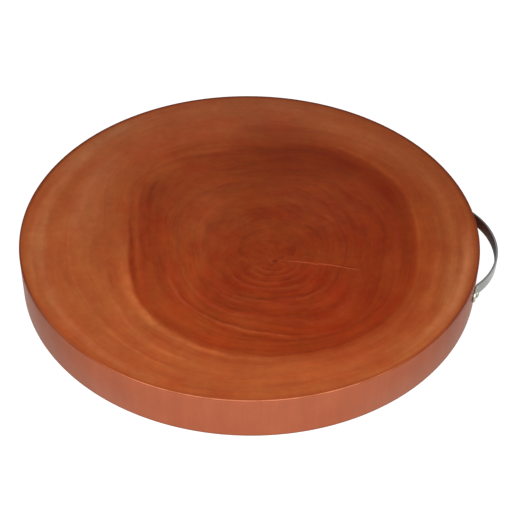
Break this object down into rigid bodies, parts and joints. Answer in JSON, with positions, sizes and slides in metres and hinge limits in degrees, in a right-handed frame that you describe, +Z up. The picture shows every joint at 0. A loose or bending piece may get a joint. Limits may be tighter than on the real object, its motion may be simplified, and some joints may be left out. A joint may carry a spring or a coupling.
{
  "type": "round chopping block",
  "caption": "Round end-grain wood chopping block with a thick straight rim and a bowed steel strap handle screwed to one side of it.",
  "frame": {"origin": "centre of the block's round bottom face, which is the face it rests on", "axes": "+Z up along the block's axis, +X from the axis to the middle of the handle, +Y to the rear screw"},
  "size_m": [0.3975, 0.38, 0.04],
  "materials": {
    "block_wood": "oiled and lacquered reddish-brown end grain with growth rings",
    "strap_steel": "satin stainless steel",
    "screw_steel": "bright stainless steel"
  },
  "bodies": {
    "root": {"block": "block_wood", "handle": "strap_steel", "front_screw": "screw_steel", "rear_screw": "screw_steel"}
  },
  "joints": []
}
